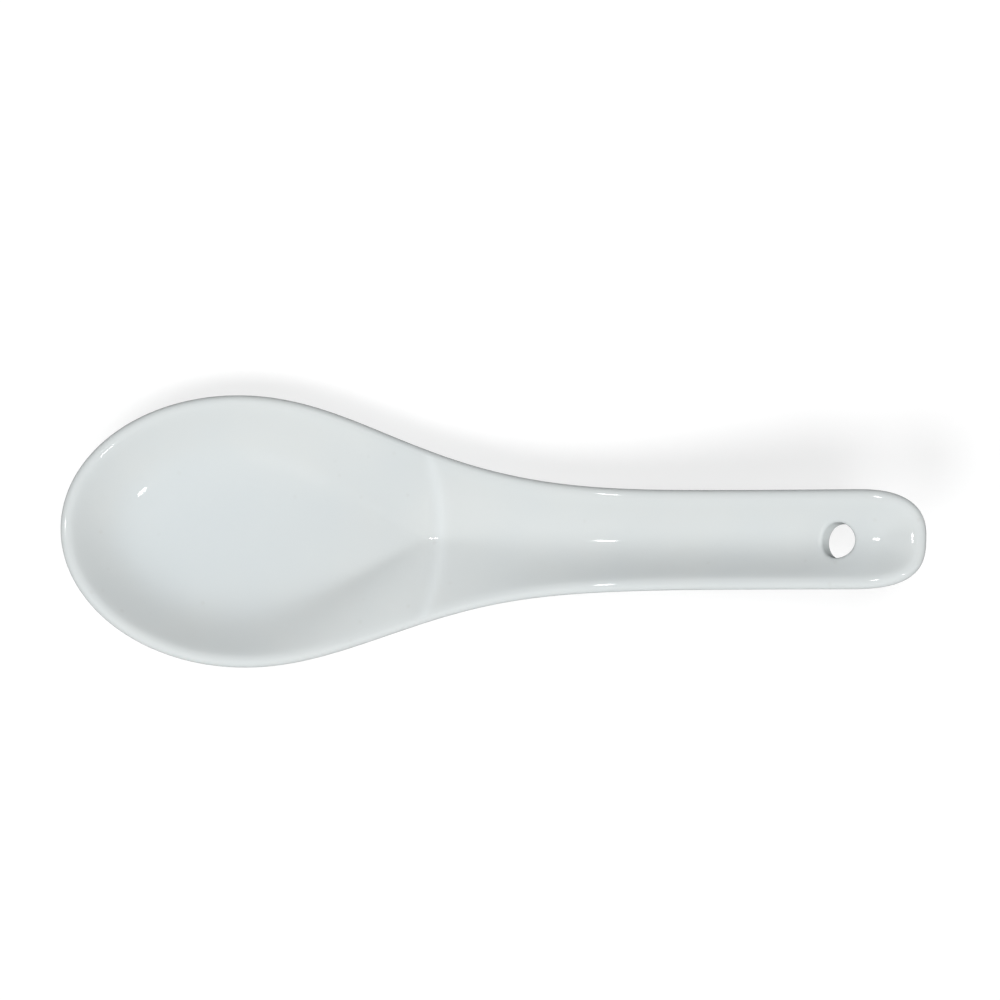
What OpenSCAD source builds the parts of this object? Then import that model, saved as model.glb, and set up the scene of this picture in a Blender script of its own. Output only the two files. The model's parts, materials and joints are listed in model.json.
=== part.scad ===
// Porcelain tasting spoon, cast in one piece: a fired clay body under a coat of clear glaze.
// Millimetres. +X runs from the lip to the end of the handle and +Z is up. The origin is the
// centre of the unglazed foot, on the table. In the functions, s is the distance from the lip.

/* [Outline] */
// Length from the lip to the end of the handle, seen from above
spoon_length = 135; // [112:1:162]
// Width of the bowl across its rim
bowl_width = 43.2; // [36:0.1:52]
// Distance from the lip to the widest place of the bowl
widest_from_lip = 28.5; // [23.5:0.5:34]
// Distance from the lip to the crest between bowl and handle
crest_from_lip = 57.5; // [54:0.5:66]
// Length over which the bowl draws in to the handle
neck_taper = 31.8; // [26.5:0.1:38.5]
// Width of the handle
handle_width = 15.5; // [12.5:0.5:19]
// Length of the rounded end of the handle
end_rounding = 11.5; // [9.5:0.1:14]

/* [Heights] */
// Height of the rim at the lip
lip_height = 10.8; // [9.5:0.1:11.4]
// Height of the rim beside the crest
crest_height = 11.9; // [11.2:0.1:14]
// Slope of the neck behind the crest, in degrees
neck_slope = 10; // [8:0.5:12]
// Slope of the handle, in degrees
handle_slope = 22; // [18.5:0.5:26]
// Distance from the lip to the bend where the neck becomes the handle
bend_from_lip = 85; // [77:0.5:93]
// Drop of the curled end below the handle's climb
end_curl = 2.7; // [1:0.1:3.6]
// Depth of the channel below the rim at the crest
crest_depth = 2.5; // [2:0.1:3.1]
// How far the crest bows towards the handle in the middle
crest_bow = 2.4; // [1:0.1:3]
// Depth of the channel along the handle
channel_depth = 2.8; // [2.3:0.1:3.4]
// Depth of the channel where it runs out at the end
end_depth = 2; // [1.6:0.1:2.4]

/* [Walls] */
// Thickness of the bowl's floor, glaze included
floor_thickness = 4.4; // [3.6:0.1:5.4]
// Thickness of the handle under its channel, glaze included
handle_thickness = 3.9; // [3.2:0.1:4.7]
// Width of the sloping wall round the floor, seen from above
wall_run = 9; // [7.5:0.25:11]
// How far the flat of the underside reaches out beyond the flat of the floor
base_margin = 1.6; // [1:0.1:2.4]
// Slope of the floor where it climbs to the crest, in degrees
back_slope = 13.5; // [12:0.5:16]
// Slope of the underside where it climbs from the foot, in degrees
heel_slope = 40; // [33:1:48]
// Radius of the outer half of the rim
rim_radius = 1.05; // [0.85:0.05:1.3]
// Thickness of the glaze
glaze_thickness = 0.3; // [0.2:0.05:0.4]

/* [Foot] */
// Length of the unglazed foot
foot_length = 42; // [35:0.5:50]
// Width of the foot towards the lip
foot_width = 23; // [19:0.5:27]
// Width of the foot towards the handle
heel_width = 13; // [10:0.5:16]
// Distance from the lip to the front of the foot
foot_from_lip = 12; // [10:0.5:14.5]
// Height of the foot below the glazed underside
foot_height = 0.8; // [0.6:0.1:1]

/* [Hanging hole] */
// Diameter of the hole inside its glaze
hole_diameter = 5.5; // [4.5:0.1:6.6]
// Distance from the end of the handle to the middle of the hole
hole_from_end = 13.4; // [11.2:0.1:16]

/* [Hidden] */

// How hard the neck draws in, how square the end is and over what length it curls
taper_power = 2.05;
end_power = 2.65;
curl_length = 9;

// Lengths over which two surfaces blend where they meet
bowl_fillet = 4;
climb_fillet = 3;
crest_fillet = 0.7;
channel_fillet = 4.2;
rim_fillet = 0.55;
under_fillet = 5;
heel_fillet = 3;
neck_fillet = 6;
bend_softness = 1.7;

// Plan width of the inner half of the rim, and the gap from the foot to the heel's climb
rim_run = 0.55;
heel_gap = 2;

// How far before the crest the neck's slope begins, under the bowl
neck_lead = 8;
// Length behind the crest over which the channel takes its full form
channel_start = 24;
// Length before the end over which the channel runs out
run_out_length = 12;
// How fast the wall widens towards the crest
wall_widening = 1.3;
// How much steeper the wall is at the floor than at the rim before the crest, the share of the way
// from the widest place to the crest over which it becomes so, and where behind the crest and over
// what length that ends
neck_bulge = 0.8;
neck_onset = 0.8;
bulge_end = 3;
bulge_fade = 8;
// Flat share of the handle's underside
keel_share = 0.36;
// Where the lines of the bowl's front fan out from, as a share of the way to the widest place
fan_share = 0.75;
// How far the foot's pad is let into the floor, as a share of the floor's thickness
let_in_share = 0.75;
// Length of the drill for the hanging hole, in thicknesses of the handle with its channel
drill_reach = 4;

// Derived places and sizes
bowl_r = bowl_width / 2;
handle_r = handle_width / 2;
hole_r = hole_diameter / 2;
spine_start = fan_share * widest_from_lip;
spine_end = spoon_length - handle_r;
end_start = spoon_length - end_rounding;
// Height of the rim at the crest, and the power with which the bowl's rim sweeps up to it, so that it
// runs smoothly into the neck's
crest_top = handle_rim(crest_from_lip);
lip_sweep = tan(neck_slope) * crest_from_lip / (crest_top - lip_height);
floor_level = foot_height + floor_thickness;
foot_let_in = let_in_share * floor_thickness;
heel_from_lip = foot_from_lip + foot_length + heel_gap;
origin_from_lip = foot_from_lip + foot_length / 2;
hole_from_lip = spoon_length - hole_from_end;
drill_length = drill_reach * (handle_thickness + channel_depth);

// Facets of the round shapes
hole_facets = 48;
foot_facets = 64;

// Steps along the lip, one side and one half of the end, and the rings over the surface
lip_steps = 9;
side_steps = 30;
end_steps = 7;
inside_shares = [0.2, 0.4, 0.56, 0.68, 0.78, 0.87, 0.95];
rim_shares = [0.4, 1];
rim_angles = [50, 0];
under_shares = [0.96, 0.9, 0.82, 0.73, 0.63, 0.5, 0.35, 0.18];

// Curve helpers
function clamp(x, low, high) = max(low, min(high, x));
function mix(a, b, share) = a + (b - a) * share;
function ease(share) = let (u = clamp(share, 0, 1)) u * u * (3 - 2 * u);
function soft_max(a, b, soft) = (a + b + norm([a - b, soft])) / 2;
// The lower of the two, rounded off only where they are less than soft apart
function round_min(a, b, soft) = min(a, b) - pow(max(0, soft - abs(a - b)), 2) / (4 * soft);
// Level out to flat, then rising one for one, with a soft corner between
function ramp(r, flat, soft) =
    (norm([r - flat, soft]) + norm([r + flat, soft])) / 2 - norm([flat, soft]);

// Half-width of the outline: half an ellipse at the lip, a bell curve down to the handle's
// width, and a squared ellipse at the end
function half_width(s) =
    s < widest_from_lip
    ? bowl_r * sqrt(1 - pow(1 - s / widest_from_lip, 2))
    : let (
        drawn_in = exp(-pow((s - widest_from_lip) / neck_taper, taper_power)),
        past = clamp((s - end_start) / end_rounding, 0, 1))
      mix(handle_r, bowl_r, drawn_in) * pow(1 - pow(past, end_power), 1 / end_power);

// Height of the handle's rim: the neck, a bend up to the steeper handle and an end that curls down
function handle_rim(s) =
    let (
        neck_rim = crest_height + max(s - crest_from_lip, -neck_lead) * tan(neck_slope),
        bent_up = (s - bend_from_lip) * (tan(handle_slope) - tan(neck_slope)),
        curl = clamp((s - spoon_length) / curl_length + 1, 0, 1))
    neck_rim + soft_max(0, bent_up, bend_softness) - end_curl * curl * curl;

// Height of the whole rim: level round the bowl and sweeping up to the crest, then the handle's
function rim_height(s) =
    s < crest_from_lip
    ? mix(lip_height, crest_top, pow(s / crest_from_lip, lip_sweep))
    : handle_rim(s);

// Height of the channel's bottom, carried on forward over the bowl
function channel_level(s) =
    let (
        full = ease((s - crest_from_lip) / channel_start),
        run_out = ease((s - spine_end) / run_out_length + 1))
    handle_rim(s) - mix(mix(crest_depth, channel_depth, full), end_depth, run_out);

// Height of the inside before its walls rise: floor, climb to the crest, channel. The crest bows
// towards the handle in the middle, where share is 0
function inside_level(s, share) =
    let (
        crest = crest_from_lip + crest_bow * (1 - share * share),
        top = channel_level(crest),
        blend = climb_fillet * climb_fillet / (4 * (top - floor_level)),
        climb = top - blend + (s - crest) * tan(back_slope))
    s > crest ? channel_level(s) : soft_max(floor_level, climb, climb_fillet);

// Height of the underside along the middle: flat, climb from the foot, handle
function under_level(s) =
    let (climb = foot_height + (s - heel_from_lip) * tan(heel_slope))
    round_min(channel_level(s) - handle_thickness, soft_max(foot_height, climb, heel_fillet), neck_fillet);

// How far s has come from the widest place to the crest
function neck_share(s) =
    clamp((s - widest_from_lip) / (crest_from_lip - widest_from_lip), 0, 1);

// Flat part of the inside, on a line of length reach from the middle to the outline
function floor_reach(s, reach) =
    let (widest_wall = half_width(crest_from_lip))
    s > crest_from_lip
    ? 0
    : max(0, reach - mix(wall_run, widest_wall, pow(neck_share(s), wall_widening)));

// A value that changes from the bowl to the crest, and from the crest to the handle
function neck_form(s, bowl_value, crest_value, channel_value) =
    mix(
        mix(bowl_value, crest_value, ease(neck_share(s) / neck_onset)),
        channel_value,
        ease((s - crest_from_lip) / channel_start));

// How much steeper the wall is at the floor than at the rim
function wall_bulge(s) =
    neck_bulge * ease(neck_share(s) / neck_onset) * ease((crest_from_lip + bulge_end - s) / bulge_fade);

// One line of the surface as [distance from the middle, height]: along the inside, over the
// rim and back along the underside
function profile(s, spine, reach) =
    let (
        crest = reach - rim_radius,
        shoulder = crest - rim_run,
        place = function (r) mix(spine, s, r / reach),
        flat = floor_reach(s, reach),
        soft = neck_form(s, bowl_fillet, crest_fillet, channel_fillet),
        bulge = wall_bulge(s),
        full = ramp(crest, flat, soft),
        bulged = function (wall) wall / (1 + bulge * wall / full),
        rise = function (r) bulged(ramp(r, flat, soft)) - ramp(r, shoulder, rim_fillet) / pow(1 + bulge, 2),
        level = function (r) inside_level(place(r), r / reach),
        top = rim_height(s),
        steepness = (top - level(crest)) / rise(crest),
        inside = function (r) [r, level(r) + steepness * rise(r)],
        edge = top - rim_radius,
        under_flat = max(flat + base_margin, keel_share * reach),
        hull = (edge - under_level(s)) / ramp(reach, under_flat, under_fillet),
        under = function (r) [r, under_level(place(r)) + hull * ramp(r, under_flat, under_fillet)])
    concat(
        [for (share = inside_shares) inside(share * shoulder)],
        [for (share = rim_shares) inside(mix(shoulder, crest, share))],
        [for (a = rim_angles) [crest + rim_radius * cos(a), edge + rim_radius * sin(a)]],
        [for (share = under_shares) under(share * reach)]);

// The same line in place, on the +Y side. Round the lip and the end the lines fan out
function surface_line(s) =
    let (
        w = half_width(s),
        spine = clamp(s, spine_start, spine_end),
        reach = norm([s - spine, w]),
        step = [(s - spine) / reach, w / reach])
    [for (p = profile(s, spine, reach)) [spine + p[0] * step[0] - origin_from_lip, p[0] * step[1], p[1]]];

stations = concat(
    [for (i = [0 : lip_steps - 1]) widest_from_lip * (1 - cos(90 * i / lip_steps))],
    [for (i = [0 : side_steps - 1]) mix(widest_from_lip, end_start, i / side_steps)],
    [for (i = [0 : end_steps]) mix(end_start, spoon_length, pow(sin(90 * i / end_steps), 2 / end_power))]);

// All lines in order: lip, +Y side, end, -Y side
half_count = len(stations) - 1;
half_lines = [for (s = stations) surface_line(s)];
other_lines = [for (i = [half_count - 1 : -1 : 1]) [for (p = half_lines[i]) [p[0], -p[1], p[2]]]];
lines = concat(half_lines, other_lines);
line_count = len(lines);
ring_count = len(lines[0]);

// Direction square to the surface at ring j of line i
function outward(i, j) =
    let (
        before = lines[(i + line_count - 1) % line_count],
        after = lines[(i + 1) % line_count],
        over = lines[i][min(j + 1, ring_count - 1)] - lines[i][max(j - 1, 0)],
        square = cross(after[j] - before[j], over))
    square / norm(square);

// The spoon's closed skin, taken in by a depth. Strips across the middle close its two ends
module skin(depth) {
    points = [for (i = [0 : line_count - 1]) for (j = [0 : ring_count - 1])
        lines[i][j] - depth * outward(i, j)];
    at = function (i, j) (i % line_count) * ring_count + j;
    mirrored = function (i, j) at(line_count - i, j);
    flip = function (faces) [for (f = faces) [f[2], f[1], f[0]]];
    sides = [for (i = [0 : line_count - 1]) for (j = [0 : ring_count - 2]) each [
        [at(i, j), at(i + 1, j + 1), at(i + 1, j)],
        [at(i, j), at(i, j + 1), at(i + 1, j + 1)]]];
    strip = function (j) [for (i = [0 : half_count - 1]) each [
        if (i > 0) [at(i, j), mirrored(i, j), at(i + 1, j)],
        if (i < half_count - 1) [mirrored(i, j), mirrored(i + 1, j), at(i + 1, j)]]];
    polyhedron(points, concat(sides, flip(strip(0)), strip(ring_count - 1)));
}

// The flat foot, let into the floor
module foot_pad() {
    front_r = foot_width / 2;
    heel_r = heel_width / 2;
    linear_extrude(foot_height + foot_let_in)
        hull() {
            translate([front_r - foot_length / 2, 0]) circle(front_r, $fn = foot_facets);
            translate([foot_length / 2 - heel_r, 0]) circle(heel_r, $fn = foot_facets);
        }
}

// The hole runs square to the channel
module hang_hole(r) {
    slope = atan((inside_level(hole_from_lip + 1, 0) - inside_level(hole_from_lip - 1, 0)) / 2);
    translate([hole_from_lip - origin_from_lip, 0, inside_level(hole_from_lip, 0)])
        rotate([0, -slope, 0])
            cylinder(h = drill_length, r = r, center = true, $fn = hole_facets);
}

module porcelain_body() {
    color("oldlace")
        difference() {
            union() {
                skin(glaze_thickness);
                foot_pad();
            }
            hang_hole(hole_r + glaze_thickness);
        }
}

module glaze_coat() {
    color("azure")
        difference() {
            skin(0);
            porcelain_body();
            hang_hole(hole_r);
        }
}

porcelain_body();
glaze_coat();
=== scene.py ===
# Porcelain tasting spoon: a white glaze over a fired clay body that stands on its bare foot.
# Metres. +X runs from the lip to the end of the handle and +Z is up. The origin is the centre of
# the foot, on the table. In the functions, s and x are distances from the lip.
import json
import math

import bmesh
import bpy
from mathutils import Matrix, Vector


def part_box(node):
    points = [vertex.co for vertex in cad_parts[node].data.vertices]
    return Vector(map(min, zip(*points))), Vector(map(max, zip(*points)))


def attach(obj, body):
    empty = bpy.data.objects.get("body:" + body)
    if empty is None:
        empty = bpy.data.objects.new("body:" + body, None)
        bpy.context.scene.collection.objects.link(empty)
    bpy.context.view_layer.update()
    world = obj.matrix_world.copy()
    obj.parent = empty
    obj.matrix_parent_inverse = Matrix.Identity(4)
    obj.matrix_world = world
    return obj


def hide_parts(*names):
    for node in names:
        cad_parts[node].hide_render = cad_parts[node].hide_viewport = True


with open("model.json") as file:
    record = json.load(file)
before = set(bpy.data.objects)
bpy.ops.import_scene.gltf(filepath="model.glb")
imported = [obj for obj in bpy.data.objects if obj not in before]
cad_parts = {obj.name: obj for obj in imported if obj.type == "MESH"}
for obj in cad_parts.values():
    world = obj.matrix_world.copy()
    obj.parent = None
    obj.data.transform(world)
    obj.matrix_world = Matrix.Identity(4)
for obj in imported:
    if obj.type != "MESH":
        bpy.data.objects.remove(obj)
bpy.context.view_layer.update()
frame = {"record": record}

MM = 0.001
ACROSS = Vector((0, 1, 0))
UP = Vector((0, 0, 1))

# Sizes and places that the frame gives
glaze_low, glaze_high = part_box("glaze_coat")
spoon_length = glaze_high.x - glaze_low.x
bowl_r = glaze_high.y
origin_from_lip = -glaze_low.x
hang_hole = next(mount for mount in frame["record"]["mounts"] if mount["name"] == "hang_hole")
hole_place = Vector(hang_hole["pos_m"])
hole_axis = Vector(hang_hole["axis"]).normalized()
hole_r = hang_hole["dims"]["r_mm"] * MM

# Outline
widest_from_lip = 28.5 * MM
crest_from_lip = 57.5 * MM
neck_taper = 31.8 * MM
handle_r = 7.75 * MM
end_rounding = 11.5 * MM
taper_power = 2.05
end_power = 2.65

# Heights
lip_height = 10.8 * MM
crest_height = 11.9 * MM
neck_slope = math.radians(10)
handle_slope = math.radians(22)
bend_from_lip = 85 * MM
end_curl = 2.7 * MM
curl_length = 9 * MM
crest_depth = 2.5 * MM
crest_bow = 2.4 * MM
channel_depth = 2.8 * MM
end_depth = 2 * MM
bead_height = 0.15 * MM
bead_width = 1 * MM
neck_lead = 8 * MM
channel_start = 24 * MM
run_out_length = 12 * MM

# Walls
floor_thickness = 4.4 * MM
handle_thickness = 3.9 * MM
wall_run = 9 * MM
wall_widening = 1.3
neck_bulge = 0.8
neck_onset = 0.8
bulge_end = 3 * MM
bulge_fade = 8 * MM
base_margin = 1.6 * MM
keel_share = 0.36
fan_share = 0.75
back_slope = math.radians(13.5)
heel_slope = math.radians(40)
heel_gap = 2 * MM
rim_radius = 1.05 * MM
rim_run = 0.55 * MM
glaze_thickness = 0.3 * MM

# Lengths over which two surfaces blend where they meet
bowl_fillet = 4 * MM
climb_fillet = 3 * MM
crest_fillet = 0.7 * MM
channel_fillet = 4.2 * MM
rim_fillet = 0.55 * MM
under_fillet = 5 * MM
heel_fillet = 3 * MM
neck_fillet = 6 * MM
bend_softness = 1.7 * MM

# Foot
foot_length = 42 * MM
foot_front_r = 11.5 * MM
foot_heel_r = 6.5 * MM
foot_from_lip = 12 * MM
foot_height = 0.8 * MM
foot_edge_round = 0.45 * MM
foot_face_margin = 0.6 * MM
glaze_edge_round = 0.13 * MM

# Depth of the pool of glaze on the bowl's floor, and how pale the thin glaze makes the rim, where the
# crest's painted highlight is 1
pool_depth = 2.5 * MM
thin_rim = 0.2

# Rounding of the hole's two mouths
mouth_round = 0.6 * MM

# Derived places
spine_start = fan_share * widest_from_lip
spine_end = spoon_length - handle_r
end_start = spoon_length - end_rounding
floor_level = foot_height + floor_thickness
heel_from_lip = foot_from_lip + foot_length + heel_gap
foot_end_from_lip = foot_from_lip + foot_length

# How many lines the mesh has on each side of the spoon: round the lip, along the side, round the end
lip_lines = 64
side_lines = 150
end_lines = 32

# How many loops cross them: on the rim's inner side, the rest of the inside, the rim's round edge,
# the underside, each mouth of the hole, the foot's edge and the glaze's edge
rim_side_loops = 12
inside_loops = 20
rim_loops = 14
under_loops = 18
mouth_loops = 5
foot_edge_loops = 4
glaze_edge_loops = 3

# Where the lines of the bowl's front start, and which lines end on the foot and round the hole
front_start = 13 * MM
heel_lines_to = 60 * MM
hole_lines_from = 111 * MM

# Over what length the lines lean towards the hole and away from the foot, and the width of the
# rim's inner side
lead_length = 26 * MM
rim_side_run = 2.45 * MM

# Accuracy of the searches and of the merging
halvings = 32
settle_rounds = 6
probe = 0.01 * MM
merge_gap = 0.001 * MM

# Colours of the glaze and the bare clay
glaze_grey = (0.62, 0.655, 0.66, 1)
glaze_white = (0.64, 0.668, 0.665, 1)
glaze_pooled = (0.605, 0.66, 0.68, 1)
# Paler glaze: thin glaze on rim and mouths, and the painted highlight along the crest
glaze_thin_and_highlight = (0.685, 0.72, 0.725, 1)
glaze_speck = (0.42, 0.4, 0.36, 1)
clay_dull = (0.7, 0.67, 0.6, 1)
clay_pale = (0.76, 0.735, 0.67, 1)
clay_flush = (0.66, 0.5, 0.34, 1)
clay_speck = (0.3, 0.25, 0.2, 1)

# How strongly the colours of pool, thin glaze with its painted highlight, flush and specks show over
# the plain ones
pooled_share = 0.5
thin_and_highlight_share = 0.8
glaze_speck_share = 0.1
flush_share = 0.6
clay_speck_share = 0.5

# Stage: the floor's side, the lamps' distance and width, and how soft the broad lights are
floor_side = 4
lamp_distance = 3
lamp_width = 0.25
light_softness = math.radians(20)

# Camera: what it looks at, how far off it is, its lean from straight down and its turn
camera_aim = Vector((36.14, 7.54, 0.87)) * MM
camera_distance = 900 * MM
camera_tilt = math.radians(6.64)
camera_roll = math.radians(-2.2)
focal_length = 203


# Curve helpers
def clamp(value, low, high):
    return max(low, min(high, value))


def mix(a, b, share):
    return a + (b - a) * share


def ease(share):
    u = clamp(share, 0, 1)
    return u * u * (3 - 2 * u)


def soft_max(a, b, soft):
    return (a + b + math.hypot(a - b, soft)) / 2


def round_min(a, b, soft):
    """The lower of the two, rounded off only where they are less than soft apart."""
    return min(a, b) - max(0, soft - abs(a - b)) ** 2 / (4 * soft)


def ramp(r, flat, soft):
    """Level out to flat, then rising one for one, with a soft corner between."""
    return (math.hypot(r - flat, soft) + math.hypot(r + flat, soft)) / 2 - math.hypot(flat, soft)


# The spoon's shape
def half_width(s):
    """Half an ellipse at the lip, a bell curve to the handle and a squared ellipse at the end."""
    if s < widest_from_lip:
        return bowl_r * math.sqrt(1 - (1 - s / widest_from_lip) ** 2)
    drawn_in = math.exp(-((s - widest_from_lip) / neck_taper) ** taper_power)
    past = clamp((s - end_start) / end_rounding, 0, 1)
    return mix(handle_r, bowl_r, drawn_in) * (1 - past**end_power) ** (1 / end_power)


def handle_rim(s):
    """Height of the handle's rim: the neck, a bend up to the steeper handle and a curled end."""
    neck_rim = crest_height + max(s - crest_from_lip, -neck_lead) * math.tan(neck_slope)
    bent_up = (s - bend_from_lip) * (math.tan(handle_slope) - math.tan(neck_slope))
    curl = clamp((s - spoon_length) / curl_length + 1, 0, 1)
    return neck_rim + soft_max(0, bent_up, bend_softness) - end_curl * curl * curl


# The power with which the bowl's rim sweeps up, so that it runs smoothly into the neck's
crest_top = handle_rim(crest_from_lip)
lip_sweep = math.tan(neck_slope) * crest_from_lip / (crest_top - lip_height)


def crest_line(share):
    """Where the crest runs, from share 0 in the middle to 1 at the rim. It bows to the handle."""
    return crest_from_lip + crest_bow * (1 - share * share)


def bead(s, share):
    """Height of the low bead that runs along the crest."""
    return bead_height * math.exp(-(((s - crest_line(share)) / bead_width) ** 2))


def rim_height(s):
    """Height of the whole rim: low round the lip, sweeping up to the crest, then the handle's."""
    if s > crest_from_lip:
        return handle_rim(s) + bead(s, 1)
    return mix(lip_height, crest_top, (s / crest_from_lip) ** lip_sweep) + bead(s, 1)


def channel_level(s):
    """Height of the channel's bottom, carried on forward over the bowl."""
    full = ease((s - crest_from_lip) / channel_start)
    run_out = ease((s - spine_end) / run_out_length + 1)
    return handle_rim(s) - mix(mix(crest_depth, channel_depth, full), end_depth, run_out)


def inside_level(s, share):
    """Height of the inside before its walls rise: floor, climb to the crest, bead, channel."""
    crest = crest_line(share)
    if s > crest:
        return channel_level(s) + bead(s, share)
    top = channel_level(crest)
    blend_drop = climb_fillet**2 / (4 * (top - floor_level))
    climb = top - blend_drop + (s - crest) * math.tan(back_slope)
    return soft_max(floor_level, climb, climb_fillet) + bead(s, share)


def under_level(s):
    """Height of the underside along the middle: flat, climb from the foot, handle."""
    climb = foot_height + (s - heel_from_lip) * math.tan(heel_slope)
    bowl_under = soft_max(foot_height, climb, heel_fillet)
    return round_min(channel_level(s) - handle_thickness, bowl_under, neck_fillet)


def neck_share(s):
    return clamp((s - widest_from_lip) / (crest_from_lip - widest_from_lip), 0, 1)


def floor_reach(s, reach):
    """Flat part of the inside, on a line of length reach from the middle to the outline."""
    if s > crest_from_lip:
        return 0
    wall = mix(wall_run, half_width(crest_from_lip), neck_share(s) ** wall_widening)
    return max(0, reach - wall)


def neck_form(s, bowl_value, crest_value, channel_value):
    """A value that changes from the bowl to the crest, and from the crest to the handle."""
    before = mix(bowl_value, crest_value, ease(neck_share(s) / neck_onset))
    return mix(before, channel_value, ease((s - crest_from_lip) / channel_start))


def wall_bulge(s):
    """How much steeper the wall is at the floor than at the rim, before the crest."""
    ending = ease((crest_from_lip + bulge_end - s) / bulge_fade)
    return neck_bulge * ease(neck_share(s) / neck_onset) * ending


class Section:
    """One line of the surface, from the middle of the spoon out to the outline at s."""

    def __init__(self, s):
        self.middle = clamp(s, spine_start, spine_end)
        width = half_width(s)
        self.reach = math.hypot(s - self.middle, width)
        self.step_x = (s - self.middle) / self.reach
        self.step_y = width / self.reach
        self.crest = self.reach - rim_radius
        self.shoulder = self.crest - rim_run
        self.flat = floor_reach(s, self.reach)
        self.soft = neck_form(s, bowl_fillet, crest_fillet, channel_fillet)
        self.bulge = wall_bulge(s)
        self.full = ramp(self.crest, self.flat, self.soft)
        self.top = rim_height(s)
        self.steepness = (self.top - self.level(self.crest)) / self.rise(self.crest)
        self.under_flat = max(self.flat + base_margin, keel_share * self.reach)

    def along(self, r):
        return self.middle + r * self.step_x

    def point(self, r, z):
        return Vector((self.along(r) - origin_from_lip, r * self.step_y, z))

    def level(self, r):
        return inside_level(self.along(r), r / self.reach)

    def rise(self, r):
        wall = ramp(r, self.flat, self.soft)
        bulged = wall / (1 + self.bulge * wall / self.full)
        return bulged - ramp(r, self.shoulder, rim_fillet) / (1 + self.bulge) ** 2

    def inside(self, r):
        return self.level(r) + self.steepness * self.rise(r)

    def settle_rim(self):
        """Finds how far the rim's arc turns before it runs smoothly into the underside."""
        self.turn_rim(math.pi / 4)
        for _ in range(settle_rounds):
            slope = (self.meet_z - self.under(self.meet_r - probe)) / probe
            self.turn_rim(math.pi / 2 - math.atan(slope))

    def turn_rim(self, turn):
        """Carries the rim's arc on, below its outermost place, to where the underside meets it."""
        self.turn = turn
        self.meet_r = self.crest + rim_radius * math.cos(turn)
        self.meet_z = self.top - rim_radius * (1 + math.sin(turn))

    def under(self, r):
        full = ramp(self.meet_r, self.under_flat, under_fillet)
        share = ramp(r, self.under_flat, under_fillet) / full
        rim_rise = self.meet_z - under_level(self.along(self.meet_r))
        return under_level(self.along(r)) + share * rim_rise

    def rim(self, angle):
        height = self.top + rim_radius * (math.sin(angle) - 1)
        return self.point(self.crest + rim_radius * math.cos(angle), height)


def section_through(x, y):
    """The line that passes over a plan place, and how far along the line the place lies."""
    middle = clamp(x, spine_start, spine_end)
    r = math.hypot(x - middle, y)
    if x == middle:
        return Section(x), r
    near, far = (0, middle) if x < middle else (middle, spoon_length)
    for _ in range(halvings):
        s = (near + far) / 2
        if (x - middle) * half_width(s) > abs(y) * (s - middle):
            near = s
        else:
            far = s
    return Section((near + far) / 2), r


def inside_height(x, y):
    section, r = section_through(x, y)
    return section.inside(r)


def under_height(x, y):
    section, r = section_through(x, y)
    section.settle_rim()
    return section.under(r)


def on_surface(place, height):
    """The surface point over or under a place."""
    return Vector((place.x, place.y, height(place.x + origin_from_lip, place.y)))


# The hanging hole, which runs square to the channel
along_handle = ACROSS.cross(hole_axis)


def hole_line(turn, radius):
    return hole_place + radius * (math.cos(turn) * along_handle + math.sin(turn) * ACROSS)


def mouth_point(turn, radius, height):
    """Where a line along the hole, at a turn round it, comes out at a surface."""
    start = hole_line(turn, radius)
    low = -2 * handle_thickness
    high = 2 * handle_thickness
    for _ in range(halvings):
        far = (low + high) / 2
        place = start + far * hole_axis
        if place.z > height(place.x + origin_from_lip, place.y):
            high = far
        else:
            low = far
    return start + low * hole_axis


def rounded_mouth(turn, share, height, inward):
    """One place on the round edge between a surface and the hole."""
    outer = mouth_point(turn, hole_r + mouth_round, height)
    corner = mouth_point(turn, hole_r, height)
    inner = corner + inward * mouth_round * hole_axis
    return outer.lerp(corner, share).lerp(corner.lerp(inner, share), share)


# The foot's outline: a round front and a narrower round heel with straight sides between
front_x = foot_front_r - foot_length / 2
heel_x = foot_length / 2 - foot_heel_r
side_lean = math.asin((foot_front_r - foot_heel_r) / (heel_x - front_x))
front_arc = foot_front_r * (math.pi / 2 + side_lean)
side_run = (heel_x - front_x) * math.cos(side_lean)
heel_arc = foot_heel_r * (math.pi / 2 - side_lean)


def foot_outline(share, inset=0):
    """A place on half of the foot's outline, from its front round the side to its heel."""
    gone = share * (front_arc + side_run + heel_arc)
    if gone < front_arc:
        angle = math.pi - gone / foot_front_r
        centre, radius = front_x, foot_front_r
    elif gone < front_arc + side_run:
        along = (gone - front_arc) / side_run
        angle = math.pi / 2 - side_lean
        centre, radius = mix(front_x, heel_x, along), mix(foot_front_r, foot_heel_r, along)
    else:
        angle = (front_arc + side_run + heel_arc - gone) / foot_heel_r
        centre, radius = heel_x, foot_heel_r
    reach = radius - inset
    return Vector((centre + reach * math.cos(angle), reach * math.sin(angle), 0))


# The mesh's lines, from the lip along one side to the end
def outline_stations():
    lip = [widest_from_lip * (1 - math.cos(math.pi / 2 * i / lip_lines)) for i in range(lip_lines)]
    side = [mix(widest_from_lip, end_start, i / side_lines) for i in range(side_lines)]
    bends = [math.sin(math.pi / 2 * i / end_lines) ** (2 / end_power) for i in range(end_lines + 1)]
    return lip + side + [mix(end_start, spoon_length, bend) for bend in bends]


stations = outline_stations()
first_hole_line = next(i for i, s in enumerate(stations) if s > hole_lines_from)
last_foot_line = next(i for i, s in enumerate(stations) if s > heel_lines_to) - 1
hole_from_lip = mouth_point(0, 0, inside_height).x + origin_from_lip


def hole_turn(s):
    """Where round the hole a line ends: from its front, for the first such line, to its back."""
    first = stations[first_hole_line]
    start = math.atan2(half_width(first), first - hole_from_lip)
    return math.pi * math.atan2(half_width(s), s - hole_from_lip) / start


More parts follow.
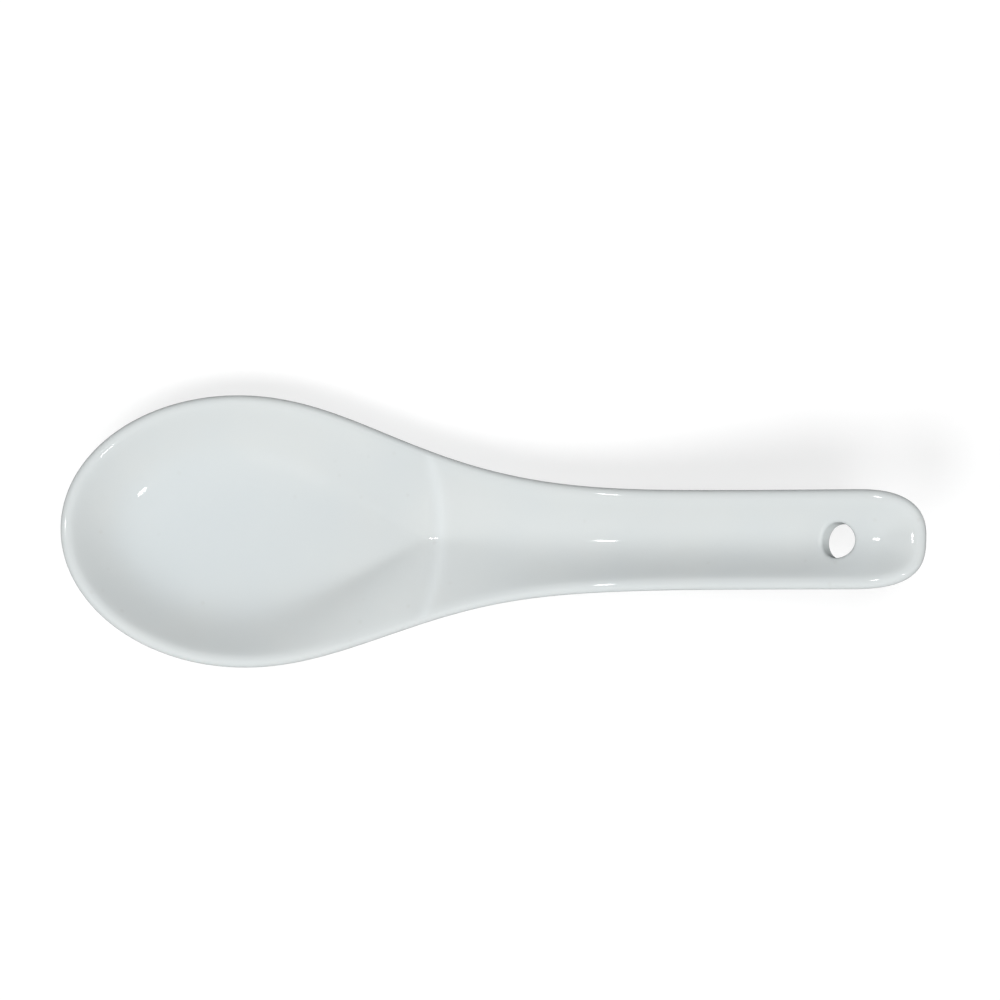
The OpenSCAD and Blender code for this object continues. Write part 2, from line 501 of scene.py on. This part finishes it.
def spine_lead(s, height):
    """How far the lines before the hole lean towards it along the middle."""
    first = stations[first_hole_line]
    front = mouth_point(math.pi, hole_r + mouth_round, height).x + origin_from_lip
    return (front - first) * ease((s - first) / lead_length + 1)


def inside_start(i):
    """The place in the middle or round the hole where a line of the inside starts."""
    s = stations[i]
    if i >= first_hole_line:
        return mouth_point(hole_turn(s), hole_r + mouth_round, inside_height)
    if s < widest_from_lip:
        x = mix(front_start, widest_from_lip, math.acos(1 - s / widest_from_lip) / (math.pi / 2))
    else:
        x = s + spine_lead(s, inside_height)
    return on_surface(Vector((x - origin_from_lip, 0, 0)), inside_height)


def under_start(i):
    """The place on the foot, in the middle or round the hole where a line of the underside starts."""
    s = stations[i]
    if i >= first_hole_line:
        return mouth_point(hole_turn(s), hole_r + mouth_round, under_height)
    if i <= last_foot_line:
        place = foot_outline(i / last_foot_line)
    else:
        last = stations[last_foot_line]
        lag = (last - foot_end_from_lip) * (1 - ease((s - last) / lead_length))
        place = Vector((s - lag + spine_lead(s, under_height) - origin_from_lip, 0, 0))
    return on_surface(place, under_height)


def inside_line(i):
    """Points from the top of the rim in to the middle."""
    section = Section(stations[i])
    runs = [rim_side_run * j / rim_side_loops for j in range(rim_side_loops + 1)]
    wall = [section.point(section.crest - run, section.inside(section.crest - run)) for run in runs]
    start = inside_start(i)
    places = [wall[-1].lerp(start, j / inside_loops) for j in range(1, inside_loops)]
    return wall + [on_surface(place, inside_height) for place in places] + [start]


def under_line(i):
    """Points from the top of the rim over its round edge and in along the underside."""
    section = Section(stations[i])
    section.settle_rim()
    angles = [mix(math.pi / 2, -section.turn, j / rim_loops) for j in range(rim_loops + 1)]
    rim = [section.rim(angle) for angle in angles]
    start = under_start(i)
    places = [rim[-1].lerp(start, j / under_loops) for j in range(1, under_loops)]
    return rim + [on_surface(place, under_height) for place in places] + [start]


def round_loops(half_lines):
    """Closed loops round the spoon from the lines of one side and their mirror images."""
    loops = []
    for ring in zip(*half_lines):
        other = [Vector((p.x, -p.y, p.z)) for p in ring[-2:0:-1]]
        loops.append(list(ring) + other)
    return loops


# Modelling helpers
def deselect_all():
    bpy.ops.object.select_all(action="DESELECT")


def edit_mesh():
    return bmesh.from_edit_mesh(bpy.context.object.data)


def show_edit():
    bmesh.update_edit_mesh(bpy.context.object.data)


def select_edges(test):
    """Selects the edges that pass a test, and nothing else."""
    bpy.ops.mesh.select_all(action="DESELECT")
    mesh = edit_mesh()
    for edge in mesh.edges:
        if test(edge):
            edge.select_set(True)
    show_edit()


def place_loop(points):
    """Moves the selected loop's corners to their lines' points."""
    mesh = edit_mesh()
    line = mesh.verts.layers.int["line"]
    for corner in mesh.verts:
        if corner.select:
            corner.co = points[corner[line]]
    show_edit()


def mark_selected(layer, value):
    """Gives the selected corners a value for the materials."""
    mesh = edit_mesh()
    mark = mesh.verts.layers.float[layer]
    for corner in mesh.verts:
        if corner.select:
            corner[mark] = value
    show_edit()


def paint_crest_highlight():
    """Marks the glaze along the crest's bead pale: a painted highlight, in the same mark as the thin
    glaze.
    """
    mesh = edit_mesh()
    thin_and_highlight = mesh.verts.layers.float["thin_and_highlight"]
    for corner in mesh.verts:
        s = corner.co.x + origin_from_lip
        if abs(s - crest_from_lip) < 2 * crest_bow:
            share = abs(corner.co.y) / half_width(s)
            corner[thin_and_highlight] = max(corner[thin_and_highlight], bead(s, share) / bead_height)
    show_edit()


def extrude_loops(loops, layer, marks):
    for points, mark in zip(loops, marks):
        bpy.ops.mesh.extrude_edges_indiv()
        place_loop(points)
        mark_selected(layer, mark)


def apply_modifier(piece, kind, **settings):
    modifier = piece.modifiers.new(kind.lower(), kind)
    for name, value in settings.items():
        setattr(modifier, name, value)
    bpy.ops.object.modifier_apply(modifier=modifier.name)


# The skin that both pieces share
def start_rim(points):
    """A circle with a corner for each line, laid along the top of the rim."""
    deselect_all()
    bpy.ops.mesh.primitive_circle_add(vertices=len(points), radius=bowl_r)
    bpy.ops.object.mode_set(mode="EDIT")
    bpy.ops.mesh.select_mode(type="EDGE")
    mesh = edit_mesh()
    for layer in ("thin_and_highlight", "flush"):
        mesh.verts.layers.float.new(layer)
    line = mesh.verts.layers.int.new("line")
    for i, corner in enumerate(mesh.verts):
        corner[line] = i
    place_loop(points)
    mark_selected("thin_and_highlight", thin_rim)


def rim_thinness(loops, fade_loops):
    """How thin the glaze is on each loop after the rim's own."""
    return [thin_rim * (1 - ease(j / fade_loops)) for j in range(1, len(loops))]


def is_hole_edge(side):
    """A test for the open edges round the hole: side 1 is its upper mouth and -1 its lower one."""
    reach = hole_r + mouth_round + merge_gap

    def near(corner):
        offset = corner.co - hole_place
        height = offset.dot(hole_axis)
        return height * side > 0 and (offset - height * hole_axis).length < reach

    return lambda edge: edge.is_boundary and all(near(corner) for corner in edge.verts)


def round_mouth(side, height):
    """Rounds the hole's edge at one surface and turns it down into the hole."""
    select_edges(is_hole_edge(side))
    for j in range(1, mouth_loops + 1):
        bpy.ops.mesh.extrude_edges_indiv()
        for corner in edit_mesh().verts:
            if corner.select:
                offset = corner.co - hole_place
                turn = math.atan2(offset.dot(ACROSS), offset.dot(along_handle))
                corner.co = rounded_mouth(turn, j / mouth_loops, height, -side)
        show_edit()
        mark_selected("thin_and_highlight", thin_rim * math.sin(math.pi * j / mouth_loops))


def spoon_skin():
    """The whole glazed surface, open only at the foot."""
    lines = range(len(stations))
    inner = round_loops([inside_line(i) for i in lines])
    outer = round_loops([under_line(i) for i in lines])
    start_rim(inner[0])
    extrude_loops(inner[1:], "thin_and_highlight", rim_thinness(inner, rim_side_loops))
    # Paints a highlight along the crest's bead
    paint_crest_highlight()
    # Back to the rim's own loop, whose corners were made first
    count = len(inner[0])
    select_edges(lambda edge: all(corner.index < count for corner in edge.verts))
    extrude_loops(outer[1:], "thin_and_highlight", rim_thinness(outer, rim_loops))
    bpy.ops.mesh.select_all(action="SELECT")
    bpy.ops.mesh.remove_doubles(threshold=merge_gap)
    round_mouth(1, inside_height)
    round_mouth(-1, under_height)
    top = is_hole_edge(1)
    bottom = is_hole_edge(-1)
    select_edges(lambda edge: top(edge) or bottom(edge))
    bpy.ops.mesh.bridge_edge_loops()
    bpy.ops.mesh.select_all(action="SELECT")
    bpy.ops.mesh.normals_make_consistent(inside=False)
    bpy.ops.object.mode_set(mode="OBJECT")
    bpy.ops.object.shade_smooth()
    return bpy.context.object


# The clay body
def foot_corner(i, inset, height):
    """A place on the foot's side, at a height or, without one, where the glaze ends."""
    place = foot_outline(min(1, i / last_foot_line), inset)
    if height is None:
        return on_surface(place, under_height)
    place.z = height
    return place


def foot_loops():
    """Loops from the glaze's edge down the foot's side and round its edge to its flat face."""
    steps = [(0, None)]
    for j in range(foot_edge_loops + 1):
        turn = math.pi / 2 * j / foot_edge_loops
        steps.append((foot_edge_round * (1 - math.cos(turn)), foot_edge_round * (1 - math.sin(turn))))
    steps.append((foot_edge_round + foot_face_margin, 0))
    lines = range(len(stations))
    return round_loops([[foot_corner(i, inset, height) for inset, height in steps] for i in lines])


def clay_body(skin):
    """The skin, taken in by the glaze's thickness, with its foot."""
    deselect_all()
    skin.select_set(True)
    bpy.ops.object.duplicate()
    body = bpy.context.object
    body.name = "clay_body"
    bpy.ops.object.mode_set(mode="EDIT")
    bpy.ops.mesh.select_all(action="SELECT")
    bpy.ops.transform.shrink_fatten(value=-glaze_thickness, use_even_offset=True)
    select_edges(lambda edge: edge.is_boundary)
    loops = foot_loops()
    extrude_loops(loops, "flush", [1 - ease(j / (len(loops) - 1)) for j in range(len(loops))])
    bpy.ops.mesh.edge_face_add()
    bpy.ops.mesh.select_all(action="SELECT")
    bpy.ops.mesh.normals_make_consistent(inside=False)
    bpy.ops.object.mode_set(mode="OBJECT")
    bpy.ops.object.shade_smooth()
    return body


# The glaze
def glaze_coat(skin):
    """The skin, made as thick as the glaze, with a soft edge round the foot."""
    deselect_all()
    skin.select_set(True)
    bpy.context.view_layer.objects.active = skin
    skin.name = "glaze"
    apply_modifier(skin, "SOLIDIFY", thickness=glaze_thickness, offset=-1, use_even_offset=True,
                   use_rim=True, edge_crease_outer=1)
    bpy.ops.object.mode_set(mode="EDIT")
    # The crease that the modifier leaves marks the glaze's outer edge round the foot
    crease = edit_mesh().edges.layers.float["crease_edge"]
    select_edges(lambda edge: edge[crease] > 0.5)
    bpy.ops.mesh.bevel(offset=glaze_edge_round, segments=glaze_edge_loops)
    bpy.ops.object.mode_set(mode="OBJECT")
    skin.data.attributes.remove(skin.data.attributes["crease_edge"])
    return skin


# Materials
def new_material(name):
    paint = bpy.data.materials.new(name)
    paint.use_nodes = True
    return paint, paint.node_tree


def set_input(tree, socket, value):
    """Links a socket to another, or sets it to a constant."""
    if isinstance(value, bpy.types.NodeSocket):
        tree.links.new(value, socket)
    else:
        socket.default_value = value


def add_node(tree, kind, **inputs):
    node = tree.nodes.new(kind)
    for name, value in inputs.items():
        set_input(tree, node.inputs[name.replace("_", " ")], value)
    return node


def mix_colours(tree, share, colour_a, colour_b):
    """Mixes two colours, which are sockets or constants."""
    node = tree.nodes.new("ShaderNodeMix")
    node.data_type = "RGBA"
    factor, first, second = (next(s for s in node.inputs if s.identifier == name)
                             for name in ("Factor_Float", "A_Color", "B_Color"))
    set_input(tree, factor, share)
    set_input(tree, first, colour_a)
    set_input(tree, second, colour_b)
    return next(s for s in node.outputs if s.identifier == "Result_Color")


def spread(tree, value, low, high, to_low, to_high):
    """Carries a value from one range over to another."""
    node = add_node(tree, "ShaderNodeMapRange", Value=value, From_Min=low, From_Max=high,
                    To_Min=to_low, To_Max=to_high)
    return node.outputs["Result"]


def times(tree, a, b):
    node = tree.nodes.new("ShaderNodeMath")
    node.operation = "MULTIPLY"
    set_input(tree, node.inputs[0], a)
    set_input(tree, node.inputs[1], b)
    return node.outputs[0]


def mark_of(tree, layer):
    node = tree.nodes.new("ShaderNodeAttribute")
    node.attribute_name = layer
    return node.outputs["Fac"]


def kiln_mottle():
    """Slow clouds, sparse specks and a fine grain, each of a size that the material gives."""
    group = bpy.data.node_groups.new("kiln_mottle", "ShaderNodeTree")
    group.interface.new_socket("Place", in_out="INPUT", socket_type="NodeSocketVector")
    for name in ("Cloud Scale", "Speck Scale", "Grain Scale"):
        group.interface.new_socket(name, in_out="INPUT", socket_type="NodeSocketFloat")
    for name in ("Cloud", "Speck", "Grain"):
        group.interface.new_socket(name, in_out="OUTPUT", socket_type="NodeSocketFloat")
    given = group.nodes.new("NodeGroupInput").outputs
    result = group.nodes.new("NodeGroupOutput").inputs
    place = given["Place"]
    noise = "ShaderNodeTexNoise"
    cloud = add_node(group, noise, Vector=place, Scale=given["Cloud Scale"], Detail=2)
    grain = add_node(group, noise, Vector=place, Scale=given["Grain Scale"], Detail=4)
    cells = add_node(group, "ShaderNodeTexVoronoi", Vector=place, Scale=given["Speck Scale"])
    # A speck is the middle of a cell, and only the cells with a light enough colour have one
    dot = spread(group, cells.outputs["Distance"], 0.05, 0.14, 1, 0)
    few = spread(group, cells.outputs["Color"], 0.62, 0.66, 0, 1)
    group.links.new(spread(group, cloud.outputs["Fac"], 0.3, 0.7, 0, 1), result["Cloud"])
    group.links.new(times(group, dot, few), result["Speck"])
    group.links.new(grain.outputs["Fac"], result["Grain"])
    return group


def mottle_of(tree, group, cloud, speck, grain):
    """The mottle's outputs in a material, for sizes given as patches in a metre."""
    node = tree.nodes.new("ShaderNodeGroup")
    node.node_tree = group
    place = tree.nodes.new("ShaderNodeTexCoord").outputs["Object"]
    sizes = {"Place": place, "Cloud Scale": cloud, "Speck Scale": speck, "Grain Scale": grain}
    for name, value in sizes.items():
        set_input(tree, node.inputs[name], value)
    return node.outputs


def bump(tree, height, strength, depth):
    node = add_node(tree, "ShaderNodeBump", Height=height, Strength=strength, Distance=depth)
    return node.outputs["Normal"]


def glaze_material(mottle):
    """Cool white, glossy, paler where it is thin on rim and mouths, with a painted highlight along
    the crest, and bluer where it pools.
    """
    paint, tree = new_material("white_glaze")
    shader = tree.nodes["Principled BSDF"]
    fired = mottle_of(tree, mottle, cloud=70, speck=300, grain=420)
    colour = mix_colours(tree, fired["Cloud"], glaze_grey, glaze_white)
    geometry = tree.nodes.new("ShaderNodeNewGeometry")
    spot = tree.nodes.new("ShaderNodeTexCoord").outputs["Object"]
    place = add_node(tree, "ShaderNodeSeparateXYZ", Vector=spot)
    facing = add_node(tree, "ShaderNodeSeparateXYZ", Vector=geometry.outputs["Normal"])
    low = spread(tree, place.outputs["Z"], floor_level, floor_level + pool_depth, 1, 0)
    up = spread(tree, facing.outputs["Z"], 0, 0.5, 0, 1)
    pooled = times(tree, times(tree, low, up), pooled_share)
    colour = mix_colours(tree, pooled, colour, glaze_pooled)
    # Paler where the glaze is thin, and along the crest a painted highlight
    thin_and_highlight = times(tree, mark_of(tree, "thin_and_highlight"), thin_and_highlight_share)
    colour = mix_colours(tree, thin_and_highlight, colour, glaze_thin_and_highlight)
    speck = times(tree, fired["Speck"], glaze_speck_share)
    colour = mix_colours(tree, speck, colour, glaze_speck)
    set_input(tree, shader.inputs["Base Color"], colour)
    gloss = spread(tree, fired["Cloud"], 0, 1, 0.04, 0.07)
    set_input(tree, shader.inputs["Roughness"], gloss)
    set_input(tree, shader.inputs["Normal"], bump(tree, fired["Grain"], 0.02, 0.1 * MM))
    return paint


def clay_material(mottle):
    """Bare fired clay: warm white and dull, with a warm flush beside the glaze."""
    paint, tree = new_material("bare_porcelain")
    shader = tree.nodes["Principled BSDF"]
    fired = mottle_of(tree, mottle, cloud=140, speck=700, grain=2600)
    colour = mix_colours(tree, fired["Cloud"], clay_dull, clay_pale)
    flush = times(tree, mark_of(tree, "flush"), flush_share)
    colour = mix_colours(tree, flush, colour, clay_flush)
    speck = times(tree, fired["Speck"], clay_speck_share)
    colour = mix_colours(tree, speck, colour, clay_speck)
    set_input(tree, shader.inputs["Base Color"], colour)
    set_input(tree, shader.inputs["Roughness"], spread(tree, fired["Grain"], 0.3, 0.7, 0.75, 0.92))
    set_input(tree, shader.inputs["Normal"], bump(tree, fired["Grain"], 0.35, 0.08 * MM))
    return paint


# The two pieces, each in the place of its node
skin = spoon_skin()
body = clay_body(skin)
glaze = glaze_coat(skin)
mottle = kiln_mottle()
for piece, node, slot, paint in (
    (glaze, "glaze_coat", "glaze", glaze_material(mottle)),
    (body, "porcelain_body", "porcelain", clay_material(mottle)),
):
    piece.data.materials.append(paint)
    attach(piece, "root")
    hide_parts(node)


# Stage
def floor():
    deselect_all()
    bpy.ops.mesh.primitive_plane_add(size=floor_side)
    plane = bpy.context.object
    plane.name = "floor"
    paint, tree = new_material("floor_paint")
    shader = tree.nodes["Principled BSDF"]
    shader.inputs["Base Color"].default_value = (0.4, 0.4, 0.4, 1)
    shader.inputs["Roughness"].default_value = 0.9
    shader.inputs["Emission Color"].default_value = (1, 1, 1, 1)
    shader.inputs["Emission Strength"].default_value = 0.6
    plane.data.materials.append(paint)
    plane.visible_glossy = False


def camera():
    ahead = Vector((math.sin(camera_roll), math.cos(camera_roll), 0))
    right = Vector((math.cos(camera_roll), -math.sin(camera_roll), 0))
    up = math.cos(camera_tilt) * ahead + math.sin(camera_tilt) * UP
    back = math.cos(camera_tilt) * UP - math.sin(camera_tilt) * ahead
    lens = bpy.data.cameras.new("camera")
    lens.lens = focal_length
    holder = bpy.data.objects.new("camera", lens)
    turn = Matrix((right, up, back)).transposed().to_4x4()
    holder.matrix_world = Matrix.Translation(camera_aim + camera_distance * back) @ turn
    bpy.context.scene.collection.objects.link(holder)
    bpy.context.scene.camera = holder


def add_light(name, kind, direction, power):
    lamp = bpy.data.lights.new(name, kind)
    lamp.energy = power
    holder = bpy.data.objects.new(name, lamp)
    holder.location = Vector(direction).normalized() * lamp_distance
    holder.rotation_euler = (-holder.location).to_track_quat("-Z", "Y").to_euler()
    bpy.context.scene.collection.objects.link(holder)
    return holder


def soft_light(name, direction, strength):
    """A broad light that gives shading and no reflection."""
    holder = add_light(name, "SUN", direction, strength)
    holder.data.angle = light_softness
    holder.visible_glossy = False


def spot_reflection(name, direction, power):
    """A small lamp that shows only as a reflection in the glaze."""
    holder = add_light(name, "AREA", direction, power)
    holder.data.shape = "DISK"
    holder.data.size = lamp_width
    holder.visible_diffuse = False


def studio_world():
    world = bpy.data.worlds.new("studio")
    bpy.context.scene.world = world
    world.use_nodes = True
    background = world.node_tree.nodes["Background"]
    background.inputs["Color"].default_value = (0.9, 0.95, 1, 1)
    background.inputs["Strength"].default_value = 0.02


floor()
camera()
studio_world()
soft_light("overhead", (0, 0, 1), 1.36)
soft_light("front_left", (-0.25, -0.433, 0.866), 1.6)
soft_light("front_right", (0.25, -0.433, 0.866), 0.87)
soft_light("low_back", (0.664, 0.664, 0.342), 0.125)
spot_reflection("left_lamp", (-0.53, 0.09, 0.85), 5)
spot_reflection("right_lamp", (0.33, -0.28, 0.9), 4)
bpy.context.scene.view_settings.view_transform = "Standard"
